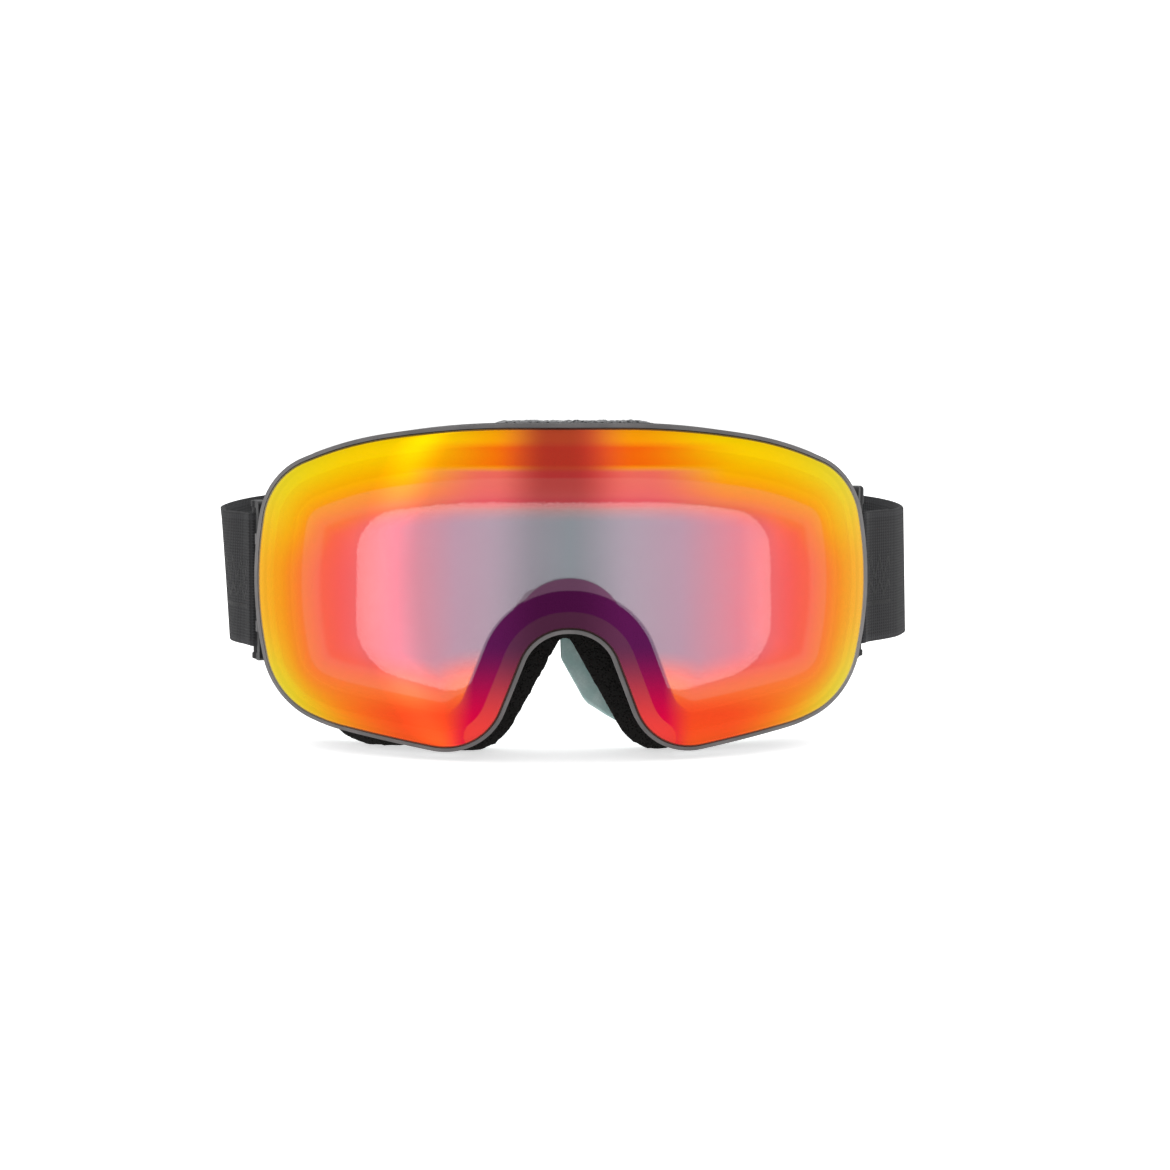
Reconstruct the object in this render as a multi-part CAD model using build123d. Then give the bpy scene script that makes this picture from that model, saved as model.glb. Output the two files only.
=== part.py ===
from build123d import *
import os
from math import acos, atan2, cos, degrees, radians, sin, sqrt, tan

# Ski goggles: a spherical double lens on a snap-off carrier, a flexible frame with
# three layers of face foam, two hinged strap arms and an elastic head strap.
# Millimetres. Everything is built with the lens apex at y = 0 and the wearer at +Y,
# and is moved at export so that the origin lies where the face liner meets the brow.

# ---- lens outline, seen from the front (right half, mirrored) ----
lens_half_width = 88.65
brow_height = 44.7
chin_depth = 46.9
bridge_depth = 10.2
bridge_half_width = 10.0
nose_foot_half_width = 24.1
brow_flat_half_width = 32.5
side_bulge = 1.15          # the side corner point stands this far outside the rounded edge
shoulder_in = 28.2
shoulder_fall = 4.7
temple_in = 4.6
temple_height = 30.5
side_drop = 1.5
cheek_in = 5.8
cheek_depth = 34.1
cheek_foot_in = 22.5
cheek_foot_depth = 39.7
brow_radius = 228.0
shoulder_radius = 96.0
temple_radius = 20.5
side_radius = 110.0
cheek_radius = 21.0
cheek_foot_radius = 41.0
chin_radius = 17.2
bridge_radius = 13.8

# ---- lens pack: concentric shells, front to back ----
lens_wrap_depth = 48.7     # how far the lens edge lies behind its apex at the sides
outer_lens_thickness = 1.2
gasket_thickness = 2.6
inner_lens_thickness = 0.8
carrier_ledge = 4.7        # width of the carrier behind the outer lens
carrier_rim = 1.1          # carrier showing round the lens edge
lens_edge_gap = 0.2
lip_drop = 0.5             # the rim stands this far below the lens face
gasket_width = 5.3
glue_line = 0.1
tab_width = 9.0
tab_thickness = 1.6
tab_length = 3.0
tab_inset = 2.9            # from the lens edge to the tab's outer face
tab_clearance = 0.4
top_tabs = (20.0, 50.0)
bottom_tabs = (44.0,)

# ---- frame ----
seat_clearance = 0.3       # between the carrier and the frame
front_flange_thickness = 1.8
front_flange_reach = 8.5   # inner edge, from the lens edge
front_flange_side_in = 3.4
front_flange_rise = 0.4
wall_thickness = 2.0
wall_side_in = 6.2
wall_rise = 0.2
wall_drop = 0.8
rear_flange_thickness = 2.0
rear_flange_setback = 3.0  # the foam covers the flange's inner edge by this much
brow_depth = 22.016        # face surface behind the lens edge, over the brow
temple_sweep = 43.5        # how far the face surface falls back at the temples
vent_width = 10.0
vent_depth = 5.0
vent_gap = 3.0
top_vent_count = 5
chin_vent_count = 2
top_vent_back = 6.6        # vent centre in front of the face surface
chin_vent_back = 7.4
chin_vent_middle = 44.0
vent_foam_thickness = 1.6
vent_foam_margin = 2.0

# ---- aperture in the foam (right half) ----
aperture_half_width = 61.0
aperture_top = 24.6
aperture_bottom = 31.5
aperture_foot = 34.0
aperture_brow_radius = 150.0
aperture_shoulder_fall = 4.0
aperture_shoulder_in = 0.8
aperture_shoulder_radius = 13.0
aperture_cheek_rise = 8.0
aperture_cheek_radius = 16.0
aperture_foot_radius = 12.0
foam_bridge_height = 0.8
foam_bridge_half_width = 13.5
foam_bridge_radius = 11.0

# ---- face foam ----
foam_base_thickness = 4.0
foam_cushion_thickness = 8.0
face_liner_thickness = 2.7
foam_side_in = 7.4
foam_rise = -0.8
foam_drop = 3.0
foam_nose_in = 5.2
foam_step = 0.8            # each layer is drawn in by this much at its outer edge

# ---- strap arms ----
strap_width = 40.0
strap_thickness = 1.6
strap_height = -1.5        # middle of the strap above the lens centre
pin_radius = 1.2
pin_running_gap = 0.05
pin_seat_gap = 0.02
pin_side_in = 1.45         # pin axis inside the lens edge
pin_back = 17.8            # pin axis behind the lens edge
ear_radius = 3.3
ear_thickness = 3.2
ear_gap = 0.3
knuckle_radius = 3.2
knuckle_height = 22.0
arm_thickness = 3.2
arm_heading = 13.0         # degrees outwards from straight back
arm_plate_start = 4.2
arm_window = 4.4           # room for the strap's eye in front of the bar
bar_distance = 13.4        # strap bar behind the pin
bar_radius = 2.0
slot_margin = 1.8
arm_end_height = 6.2
arm_corner_radius = 3.5
knob_radius = 2.4
knob_rounding = 1.2

# ---- strap loop, seen from above ----
strap_bulge = 16.85        # the loop stands out from the lens edge by this much
front_arc_radius = 60.0
side_arc_radius = 75.0
rear_arc_radius = 125.0
strap_joint_distance = 34.0
strap_joint_gap = 0.4
fold_gap = 0.1
adjuster_angle = 26.0
adjuster_length = 14.0
adjuster_wall = 1.9
adjuster_margin = 1.2
adjuster_end_height = 3.0
adjuster_gap = 0.35
adjuster_bar = 3.0
adjuster_rim = 2.2         # wall left beside the two windows
adjuster_rounding = 1.2
tail_start = 20.0
tail_sweep = 22.0
grip_angle = 15.0
grip_height = 3.0
grip_pitch = 9.0
grip_thickness = 0.5

# ---- cutting margins: each only has to pass what it cuts ----
side_margin = 9.0
below_margin = 20.0

# ---- worked out ----
lens_radius = (lens_half_width**2 + lens_wrap_depth**2) / (2 * lens_wrap_depth)
gasket_front = lens_radius - outer_lens_thickness - glue_line
inner_lens_front = gasket_front - gasket_thickness - glue_line
inner_lens_back = inner_lens_front - inner_lens_thickness
carrier_back = inner_lens_back - glue_line
flange_front = carrier_back - seat_clearance
flange_back = flange_front - front_flange_thickness
wall_half_width = lens_half_width - wall_side_in
brow_sag = lens_radius - sqrt(lens_radius**2 - brow_height**2)
face_front = brow_sag + brow_depth  # face surface behind the lens apex, at the middle
face_radius = (wall_half_width**2 + temple_sweep**2) / (2 * temple_sweep)
cushion_front = foam_base_thickness + 2 * glue_line
liner_front = cushion_front + foam_cushion_thickness + glue_line
seat_depth = face_front + liner_front + face_liner_thickness
reach = seat_depth + temple_sweep + 30      # longer than any prism needs
pin_x = lens_half_width - pin_side_in
pin_y = lens_wrap_depth + pin_back
bar_x = pin_x + bar_distance * sin(radians(arm_heading))
bar_y = pin_y + bar_distance * cos(radians(arm_heading))
slot_half_height = strap_width / 2 + slot_margin
loop_half_width = lens_half_width + strap_bulge


def front_points(side_in=0, rise=0, drop=0, nose_in=0):
    """Corner points and radii of a lens-shaped outline, right half."""
    side = lens_half_width + side_bulge - side_in
    return [
        (brow_flat_half_width, brow_height + rise, brow_radius),
        (side - shoulder_in, brow_height + rise - shoulder_fall, shoulder_radius),
        (side - temple_in, temple_height, temple_radius),
        (side, -side_drop, side_radius),
        (side - cheek_in, -cheek_depth, cheek_radius),
        (side - cheek_foot_in, -cheek_foot_depth - drop, cheek_foot_radius),
        (nose_foot_half_width - nose_in, -chin_depth - drop, chin_radius),
        (bridge_half_width - 0.4 * nose_in, -bridge_depth - nose_in, bridge_radius),
    ]


def aperture_points():
    """The opening in the foam, right half."""
    return [
        (aperture_half_width / 2, aperture_top, aperture_brow_radius),
        (aperture_half_width - aperture_shoulder_in, aperture_top - aperture_shoulder_fall,
         aperture_shoulder_radius),
        (aperture_half_width, aperture_cheek_rise - aperture_bottom, aperture_cheek_radius),
        (aperture_foot, -aperture_bottom, aperture_foot_radius),
        (foam_bridge_half_width, foam_bridge_height, foam_bridge_radius),
    ]


def mirrored_outline(half):
    """Closed face in the XZ plane from a right half, each radius limited by its two sides."""
    ring = half + [(-x, z, r) for x, z, r in reversed(half)]
    count = len(ring)
    sides = [
        sqrt((ring[i][0] - ring[i - 1][0])**2 + (ring[i][1] - ring[i - 1][1])**2)
        for i in range(count)
    ]
    half_turns = []
    for i in range(count):
        before, here, after = ring[i - 1], ring[i], ring[(i + 1) % count]
        coming = atan2(here[1] - before[1], here[0] - before[0])
        going = atan2(after[1] - here[1], after[0] - here[0])
        half_turns.append(acos(max(-1.0, min(1.0, cos(going - coming)))) / 2)
    lengths = [ring[i][2] * tan(half_turns[i]) for i in range(count)]
    fitted = list(lengths)
    for i in range(count):
        share = 0.98 * sides[i] / (lengths[i] + lengths[i - 1])
        if share < 1:
            fitted[i] = min(fitted[i], lengths[i] * share)
            fitted[i - 1] = min(fitted[i - 1], lengths[i - 1] * share)
    radii = [fitted[i] / tan(half_turns[i]) for i in range(count)]
    path = FilletPolyline(*[(x, z) for x, z, r in ring], radius=radii, close=True)
    return make_face(Plane.XZ * path)


def grown(face, amount):
    """The outline moved outwards by amount, or inwards where it is negative."""
    return offset(face, amount=amount, kind=Kind.INTERSECTION)


def prism(face, start=-5.0, end=None):
    """The outline swept along Y."""
    stop = reach if end is None else end
    return extrude(Pos(0, start, 0) * face, amount=stop - start, dir=(0, 1, 0))


def ball(radius):
    return Pos(0, lens_radius, 0) * Sphere(radius)


def shell(face, outer, inner):
    """The part of an outline's prism between two of the lens spheres."""
    return (prism(face, end=lens_radius - 30) & ball(outer)) - ball(inner)


def drum(behind):
    """Everything behind the face surface moved back by an amount."""
    tall = 4 * (brow_height + chin_depth)
    return Pos(0, face_front + behind + face_radius, 0) * Cylinder(face_radius, tall)


def face_layer(face, front, back):
    """The part of an outline's prism between two depths behind the face surface."""
    return prism(face) & (drum(front) - drum(back))


def box_between(low, high):
    size = [high[i] - low[i] for i in range(3)]
    middle = [(high[i] + low[i]) / 2 for i in range(3)]
    return Pos(*middle) * Box(*size)


def upright(x, y, radius, low, high):
    """A vertical cylinder."""
    return Pos(x, y, (low + high) / 2) * Cylinder(radius, high - low)


def flipped(shape):
    """The mirror image across the middle plane."""
    return mirror(shape, about=Plane.YZ)


lens_outline = mirrored_outline(front_points())
wall_outline = mirrored_outline(front_points(wall_side_in, wall_rise, wall_drop))
aperture_outline = mirrored_outline(aperture_points())


# ---- lens pack ----
def make_outer_lens():
    return shell(lens_outline, lens_radius, lens_radius - outer_lens_thickness)


def tab_ring(clearance, top):
    """The carrier's snap tabs as a solid along Y, grown by a clearance."""
    outer = grown(lens_outline, clearance - tab_inset)
    inner = grown(lens_outline, -clearance - tab_inset - tab_thickness)
    half = tab_width / 2 + clearance
    ring = prism(outer - inner)
    windows = []
    places = top_tabs if top else bottom_tabs
    for place in places:
        for side in (-1, 1):
            low, high = (bridge_depth, 2 * brow_height) if top else (-2 * chin_depth, -bridge_depth)
            windows.append(box_between((side * place - half, -side_margin, low),
                                       (side * place + half, reach, high)))
    return ring & Compound(windows)


def make_carrier():
    ledge = shell(
        grown(lens_outline, lens_edge_gap + carrier_rim) - grown(lens_outline, -carrier_ledge),
        gasket_front,
        carrier_back,
    )
    lip_face = grown(lens_outline, lens_edge_gap + carrier_rim) - grown(lens_outline, lens_edge_gap)
    lip = shell(lip_face, lens_radius - lip_drop, gasket_front - 0.5)
    tabs = [
        (tab_ring(0, top) & ball(carrier_back + 0.5)) - ball(carrier_back - tab_length)
        for top in (True, False)
    ]
    return ledge + lip + tabs[0] + tabs[1]


def make_gasket():
    ring = grown(lens_outline, -carrier_ledge - 2 * glue_line)
    ring -= grown(lens_outline, -carrier_ledge - 2 * glue_line - gasket_width)
    return shell(ring, gasket_front, gasket_front - gasket_thickness)


def make_inner_lens():
    return shell(grown(lens_outline, -carrier_ledge - 2 * glue_line), inner_lens_front, inner_lens_back)


# ---- frame ----
def vent_row(count, middle, back, low, high):
    """A row of square vent holes through the top or the underside."""
    pitch = vent_width + vent_gap
    holes = []
    for i in range(count):
        x = middle + (i - (count - 1) / 2) * pitch
        fall = face_radius - sqrt(face_radius**2 - x**2)
        y = face_front + fall - back
        holes.append(box_between((x - vent_width / 2, y - vent_depth / 2, low),
                                 (x + vent_width / 2, y + vent_depth / 2, high)))
    return holes


def ear_pair():
    """Two ears on the right temple that hold the strap arm's pin."""
    inner = knuckle_height / 2 + ear_gap
    ears = None
    for low in (inner, -inner - ear_thickness):
        ear = upright(pin_x, pin_y, ear_radius, strap_height + low, strap_height + low + ear_thickness)
        ear += box_between(
            (wall_half_width - 4 * wall_thickness, pin_y - ear_radius, strap_height + low),
            (pin_x, pin_y + ear_radius, strap_height + low + ear_thickness),
        )
        ears = ear if ears is None else ears + ear
    ears -= prism(grown(wall_outline, -wall_thickness / 2))
    return ears - upright(pin_x, pin_y, pin_radius + pin_seat_gap, -chin_depth, brow_height)


def make_frame():
    flange_face = grown(
        mirrored_outline(front_points(front_flange_side_in, front_flange_rise)), carrier_rim
    )
    front = shell(flange_face - grown(lens_outline, -front_flange_reach), flange_front, flange_back)
    ring = wall_outline - grown(wall_outline, -wall_thickness)
    wall = (prism(ring) & ball(flange_front)) - drum(0)
    rear_face = wall_outline - grown(aperture_outline, rear_flange_setback)
    rear = face_layer(rear_face, -rear_flange_thickness, 0)
    ears = ear_pair()
    body = front + wall + rear + ears + flipped(ears)
    cuts = vent_row(top_vent_count, 0, top_vent_back, bridge_depth, brow_height + side_margin)
    for side in (-1, 1):
        cuts += vent_row(chin_vent_count, side * chin_vent_middle, chin_vent_back,
                         -chin_depth - side_margin, -bridge_depth - below_margin)
    for cut in cuts:
        body -= cut
    for top in (True, False):
        body -= tab_ring(tab_clearance, top) & ball(flange_front + 1) - ball(flange_back - 2)
    return body


def vent_foam(count, middle, back, top):
    """A strip of open foam glued over a row of vents on the outside of the wall."""
    length = count * vent_width + (count - 1) * vent_gap + 2 * vent_foam_margin
    strip = grown(wall_outline, glue_line + vent_foam_thickness) - grown(wall_outline, glue_line)
    low, high = (0, brow_height + side_margin)
    if not top:
        low, high = (-chin_depth - side_margin, -bridge_depth - below_margin)
    window = box_between((middle - length / 2, -side_margin, low),
                         (middle + length / 2, reach, high))
    front = -back - vent_depth / 2 - vent_foam_margin
    return (prism(strip) & window) & (drum(front) - drum(-back + vent_depth / 2 + vent_foam_margin))


# ---- face foam ----
def foam_layer(front, thickness, layer):
    step = layer * foam_step
    outer = mirrored_outline(front_points(
        foam_side_in + step, foam_rise - step, foam_drop - step, foam_nose_in - step
    ))
    return face_layer(outer - aperture_outline, front, front + thickness)


# ---- strap arms ----
def make_arm():
    """The right strap arm, built along +Y and then turned to its heading."""
    half = slot_half_height + arm_end_height
    arm = Cylinder(knuckle_radius, knuckle_height)
    arm += box_between((-arm_thickness / 2, 0, -knuckle_height / 2),
                       (arm_thickness / 2, arm_plate_start + 1, knuckle_height / 2))
    plate = box_between((-arm_thickness / 2, arm_plate_start, -half),
                        (arm_thickness / 2, bar_distance, half))
    plate -= box_between((-arm_thickness, bar_distance - arm_window, -slot_half_height),
                         (arm_thickness, bar_distance + arm_window, slot_half_height))
    corners = plate.edges().filter_by(Axis.X).group_by(Axis.Y)[0]
    plate = fillet(corners, arm_corner_radius)
    arm += plate
    arm += Pos(0, bar_distance, 0) * Cylinder(bar_radius, 2 * half - arm_end_height)
    for side in (-1, 1):
        middle = side * (half - arm_end_height / 2)
        knob = Cylinder(knob_radius, arm_end_height)
        knob = fillet(knob.edges(), knob_rounding)
        arm += Pos(0, bar_distance, middle) * knob
    arm -= Cylinder(pin_radius + pin_running_gap, 3 * knuckle_height)
    return Pos(pin_x, pin_y, strap_height) * Rot(0, 0, -arm_heading) * arm


def make_pin():
    half = knuckle_height / 2 + ear_gap + ear_thickness
    return upright(pin_x, pin_y, pin_radius, strap_height - half, strap_height + half)


# ---- strap ----
# The loop is three tangent arcs a side: (centre x, centre y, radius, start and end heading),
# a heading being the angle from +X of the line from the arc's centre.
front_centre_x = loop_half_width - front_arc_radius
widest_y = bar_y + sqrt(front_arc_radius**2 - (bar_x - front_centre_x)**2)
side_centre_x = loop_half_width - side_arc_radius
rear_centre_y = widest_y - sqrt((rear_arc_radius - side_arc_radius)**2 - side_centre_x**2)
front_start = -degrees(acos((bar_x - front_centre_x) / front_arc_radius))
side_end = degrees(atan2(widest_y - rear_centre_y, side_centre_x))
loop_arcs = [
    (front_centre_x, widest_y, front_arc_radius, front_start, 0),
    (side_centre_x, widest_y, side_arc_radius, 0, side_end),
    (0, rear_centre_y, rear_arc_radius, side_end, 180 - side_end),
    (-side_centre_x, widest_y, side_arc_radius, 180 - side_end, 180),
    (-front_centre_x, widest_y, front_arc_radius, 180, 180 - front_start),
]


def arc_band(arcs, inner, outer, low, high):
    """A band along tangent arcs, between two distances from their middle line."""
    edges = []
    ends = []
    for distance in (inner, outer):
        rim = [
            CenterArc((x, y), radius + distance, start, stop - start)
            for x, y, radius, start, stop in arcs
        ]
        edges += rim
        ends.append((rim[0] @ 0, rim[-1] @ 1))
    edges.append(Line(ends[0][0], ends[1][0]))
    edges.append(Line(ends[0][1], ends[1][1]))
    return Pos(0, 0, low) * extrude(make_face(edges), amount=high - low, dir=(0, 0, 1))


def strap_layer(arcs, inner, outer, width=None, middle=0.0):
    tall = strap_width if width is None else width
    base = strap_height + middle
    return arc_band(arcs, inner, outer, base - tall / 2, base + tall / 2)


def joint_drum(radius):
    """A cylinder on the arm's pin, where the strap end stops and the loop starts."""
    return upright(pin_x, pin_y, radius, strap_height - strap_width, strap_height + strap_width)


def make_strap_band():
    band = strap_layer(loop_arcs, -strap_thickness / 2, strap_thickness / 2)
    return band - joint_drum(strap_joint_distance) - flipped(joint_drum(strap_joint_distance))


def make_strap_end():
    """The doubled, stitched strap end with its eye round the arm's bar."""
    eye_inner = bar_radius + fold_gap
    eye = upright(bar_x, bar_y, eye_inner + strap_thickness,
                  strap_height - strap_width / 2, strap_height + strap_width / 2)
    tongue = strap_layer(loop_arcs[:1], -strap_thickness, strap_thickness)
    end = (eye + tongue) & joint_drum(strap_joint_distance - strap_joint_gap)
    return end - upright(bar_x, bar_y, eye_inner, strap_height - strap_width, strap_height + strap_width)


def make_strap_tail():
    """The free end, folded back inside the loop from the adjuster."""
    arcs = [
        (0, rear_centre_y, rear_arc_radius, side_end, 90 - tail_start),
        (side_centre_x, widest_y, side_arc_radius, side_end - tail_sweep, side_end),
    ]
    outer = -strap_thickness / 2 - fold_gap
    inner = outer - strap_thickness
    arcs.reverse()
    return strap_layer(arcs, inner, outer)


def make_adjuster():
    """A three-bar slide round the strap and its tail, on the rear arc."""
    half_turn = degrees(adjuster_length / 2 / rear_arc_radius)
    centre = 90 - adjuster_angle
    arc = [(0, rear_centre_y, rear_arc_radius, centre - half_turn, centre + half_turn)]
    long_arc = [(0, rear_centre_y, rear_arc_radius, centre - 2 * half_turn, centre + 2 * half_turn)]
    slot_outer = strap_thickness / 2 + adjuster_gap
    slot_inner = -1.5 * strap_thickness - fold_gap - adjuster_gap
    slot_height = strap_width + 2 * adjuster_margin
    block = strap_layer(arc, slot_inner - adjuster_wall, slot_outer + adjuster_wall,
                        slot_height + 2 * adjuster_end_height)
    block = fillet(block.edges().filter_by(Axis.Z), adjuster_rounding)
    block -= strap_layer(long_arc, slot_inner, slot_outer, slot_height)
    bar_turn = degrees(adjuster_bar / 2 / rear_arc_radius)
    wall_turn = half_turn - degrees(adjuster_rim / rear_arc_radius)
    for start, stop in ((bar_turn, wall_turn), (-wall_turn, -bar_turn)):
        window = [(0, rear_centre_y, rear_arc_radius, centre + start, centre + stop)]
        block -= strap_layer(window, slot_outer - adjuster_gap / 2, slot_outer + 2 * adjuster_wall,
                             strap_width)
    return block


def make_grips():
    """Three silicone lines printed on the inside of the strap at the back of the head."""
    arc = [(0, rear_centre_y, rear_arc_radius, 90 - grip_angle, 90 + grip_angle)]
    outer = -strap_thickness / 2 - glue_line / 2
    return [
        strap_layer(arc, outer - grip_thickness, outer, grip_height, i * grip_pitch)
        for i in (-1, 0, 1)
    ]


def save(name, shapes):
    """Write one node, moved so that the origin lies on the face liner."""
    solids = [Pos(0, -seat_depth, 0) * s for shape in shapes for s in shape.solids()]
    export_step(solids[0] if len(solids) == 1 else Compound(children=solids), f"parts/{name}.step")
    print(f"{name}: {len(solids)} solid(s)")


os.makedirs("parts", exist_ok=True)
save("outer_lens", [make_outer_lens()])
save("lens_carrier", [make_carrier()])
save("lens_gasket", [make_gasket()])
save("inner_lens", [make_inner_lens()])
save("frame_shell", [make_frame()])
save("brow_vent_foam", [vent_foam(top_vent_count, 0, top_vent_back, True)])
save("chin_vent_foam_right", [vent_foam(chin_vent_count, chin_vent_middle, chin_vent_back, False)])
save("chin_vent_foam_left", [vent_foam(chin_vent_count, -chin_vent_middle, chin_vent_back, False)])
save("foam_base", [foam_layer(glue_line, foam_base_thickness, 0)])
save("foam_cushion", [foam_layer(cushion_front, foam_cushion_thickness, 1)])
save("face_liner", [foam_layer(liner_front, face_liner_thickness, 2)])
arm = make_arm()
pin = make_pin()
strap_end = make_strap_end()
tail = make_strap_tail()
adjuster = make_adjuster()
for side, place in (("right", lambda s: s), ("left", flipped)):
    save(f"strap_arm_{side}", [place(arm)])
    save(f"arm_pin_{side}", [place(pin)])
    save(f"strap_end_{side}", [place(strap_end)])
    save(f"strap_tail_{side}", [place(tail)])
    save(f"adjuster_{side}", [place(adjuster)])
save("strap_band", [make_strap_band()])
save("strap_grips", make_grips())
print(f"lens radius {lens_radius:.2f}, face radius {face_radius:.2f}, seat depth {seat_depth:.2f}")
print(f"pin at ({pin_x:.2f}, {pin_y - seat_depth:.2f}), bar at ({bar_x:.2f}, {bar_y - seat_depth:.2f})")
print(f"rear arc centre y {rear_centre_y - seat_depth:.2f}, widest y {widest_y - seat_depth:.2f}")
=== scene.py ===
from math import atan2, cos, degrees, exp, hypot, pi, radians, sin, sqrt, tan

import bpy
import numpy as np
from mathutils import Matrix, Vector
from mathutils.noise import noise


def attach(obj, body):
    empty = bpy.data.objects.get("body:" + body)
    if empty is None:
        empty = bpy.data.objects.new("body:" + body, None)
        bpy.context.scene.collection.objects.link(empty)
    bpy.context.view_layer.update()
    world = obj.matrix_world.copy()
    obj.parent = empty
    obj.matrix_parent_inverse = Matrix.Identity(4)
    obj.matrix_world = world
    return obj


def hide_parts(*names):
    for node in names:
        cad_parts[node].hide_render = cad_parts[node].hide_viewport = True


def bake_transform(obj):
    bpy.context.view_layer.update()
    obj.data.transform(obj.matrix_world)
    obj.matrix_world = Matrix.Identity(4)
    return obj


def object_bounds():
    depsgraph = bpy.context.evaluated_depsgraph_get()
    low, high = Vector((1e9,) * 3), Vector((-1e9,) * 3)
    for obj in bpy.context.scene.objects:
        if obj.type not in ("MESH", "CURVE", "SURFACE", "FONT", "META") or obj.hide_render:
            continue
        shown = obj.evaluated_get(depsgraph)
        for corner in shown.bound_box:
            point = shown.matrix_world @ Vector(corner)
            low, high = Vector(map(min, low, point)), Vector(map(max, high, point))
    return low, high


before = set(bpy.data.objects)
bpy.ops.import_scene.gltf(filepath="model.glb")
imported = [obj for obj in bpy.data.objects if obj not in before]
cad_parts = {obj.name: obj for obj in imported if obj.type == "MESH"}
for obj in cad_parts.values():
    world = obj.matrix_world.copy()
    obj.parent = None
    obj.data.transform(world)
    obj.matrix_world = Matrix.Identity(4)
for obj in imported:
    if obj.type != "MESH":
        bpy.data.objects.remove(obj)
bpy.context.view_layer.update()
mm = 0.001
strapMiddle = -1.5  # height of the strap's middle line, in millimetres
scene = bpy.context.scene
scene.view_settings.view_transform = "Standard"


class Val:
    # wraps one socket so that shader maths can be written as plain expressions
    def __init__(self, tree, socket):
        self.tree, self.socket = tree, socket

    def add(self, kind, out=0, settings=None, **sockets):
        node = self.tree.nodes.new(kind)
        for key, value in (settings or {}).items():
            if key == "stops":
                ramp = node.color_ramp
                while len(ramp.elements) > 1:
                    ramp.elements.remove(ramp.elements[-1])
                ramp.elements[0].position, ramp.elements[0].color = value[0][0], value[0][1]
                for place, colour in value[1:]:
                    ramp.elements.new(place).color = colour
            else:
                setattr(node, key, value)
        for name, value in sockets.items():
            numbered = name[0] == "i" and name[1:].isdigit()
            index = int(name[1:]) if numbered else name.replace("_", " ")
            target = node.inputs[index]
            if isinstance(value, Val):
                self.tree.links.new(value.socket, target)
            else:
                target.default_value = value
        return Val(self.tree, node.outputs[out])

    def math(self, operation, a, b=0.0, clamp=False):
        settings = {"operation": operation, "use_clamp": clamp}
        return self.add("ShaderNodeMath", settings=settings, i0=a, i1=b)

    def __add__(self, other): return self.math("ADD", self, other)
    def __radd__(self, other): return self.math("ADD", other, self)
    def __sub__(self, other): return self.math("SUBTRACT", self, other)
    def __rsub__(self, other): return self.math("SUBTRACT", other, self)
    def __mul__(self, other): return self.math("MULTIPLY", self, other)
    def __rmul__(self, other): return self.math("MULTIPLY", other, self)
    def __truediv__(self, other): return self.math("DIVIDE", self, other)
    def __abs__(self): return self.math("ABSOLUTE", self)

    def fade(self, low, high):
        # 0 at low, 1 at high, smooth between them
        return self.add("ShaderNodeMapRange", settings={"interpolation_type": "SMOOTHSTEP"},
                        Value=self, From_Min=low, From_Max=high)

    def blend(self, first, second):
        # mixes two colours by this value
        return self.add("ShaderNodeMix", out=2, settings={"data_type": "RGBA"},
                        i0=self, i6=first, i7=second)


def rgb(red, green, blue):
    # a colour as seen on screen, as the shader wants it
    def linear(c):
        c /= 255
        return c / 12.92 if c <= 0.04045 else ((c + 0.055) / 1.055) ** 2.4
    return (linear(red), linear(green), linear(blue), 1)


def newMaterial(name, **fixed):
    material = bpy.data.materials.new(name)
    material.use_nodes = True
    tree = material.node_tree
    shader = tree.nodes["Principled BSDF"]
    for key, value in fixed.items():
        shader.inputs[key.replace("_", " ")].default_value = value
    start = Val(tree, shader.outputs[0])
    return material, shader, start


def link(value, shader, name):
    value.tree.links.new(value.socket, shader.inputs[name])


def objectPlace(start):
    # object coordinates in millimetres, as a vector and as x, y, z
    coords = start.add("ShaderNodeTexCoord", out=3)
    scaled = start.add("ShaderNodeVectorMath", settings={"operation": "SCALE"}, i0=coords,
                       Scale=1 / mm)
    parts = scaled.tree.nodes.new("ShaderNodeSeparateXYZ")
    scaled.tree.links.new(scaled.socket, parts.inputs[0])
    return scaled, [Val(scaled.tree, parts.outputs[k]) for k in range(3)]


def uvPlace(start, name):
    # the piece's own UV map, in millimetres along and across it
    coords = start.add("ShaderNodeUVMap", settings={"uv_map": name})
    parts = start.tree.nodes.new("ShaderNodeSeparateXYZ")
    start.tree.links.new(coords.socket, parts.inputs[0])
    return [Val(start.tree, parts.outputs[k]) for k in range(2)]


def bump(start, shader, height, strength, distance=0.0005):
    made = start.add("ShaderNodeBump", Height=height, Strength=strength, Distance=distance)
    link(made, shader, "Normal")


def noiseTex(start, place, scale, detail=2.0, rough=0.5):
    return start.add("ShaderNodeTexNoise", Vector=place, Scale=scale, Detail=detail,
                     Roughness=rough)


def bridgeHump(x, z):
    # below 1 inside the rounded hump where the foam crosses the nose bridge
    across, up = x / 14.0, (z + 8.0) / 11.8
    return across * across + up * up


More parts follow.
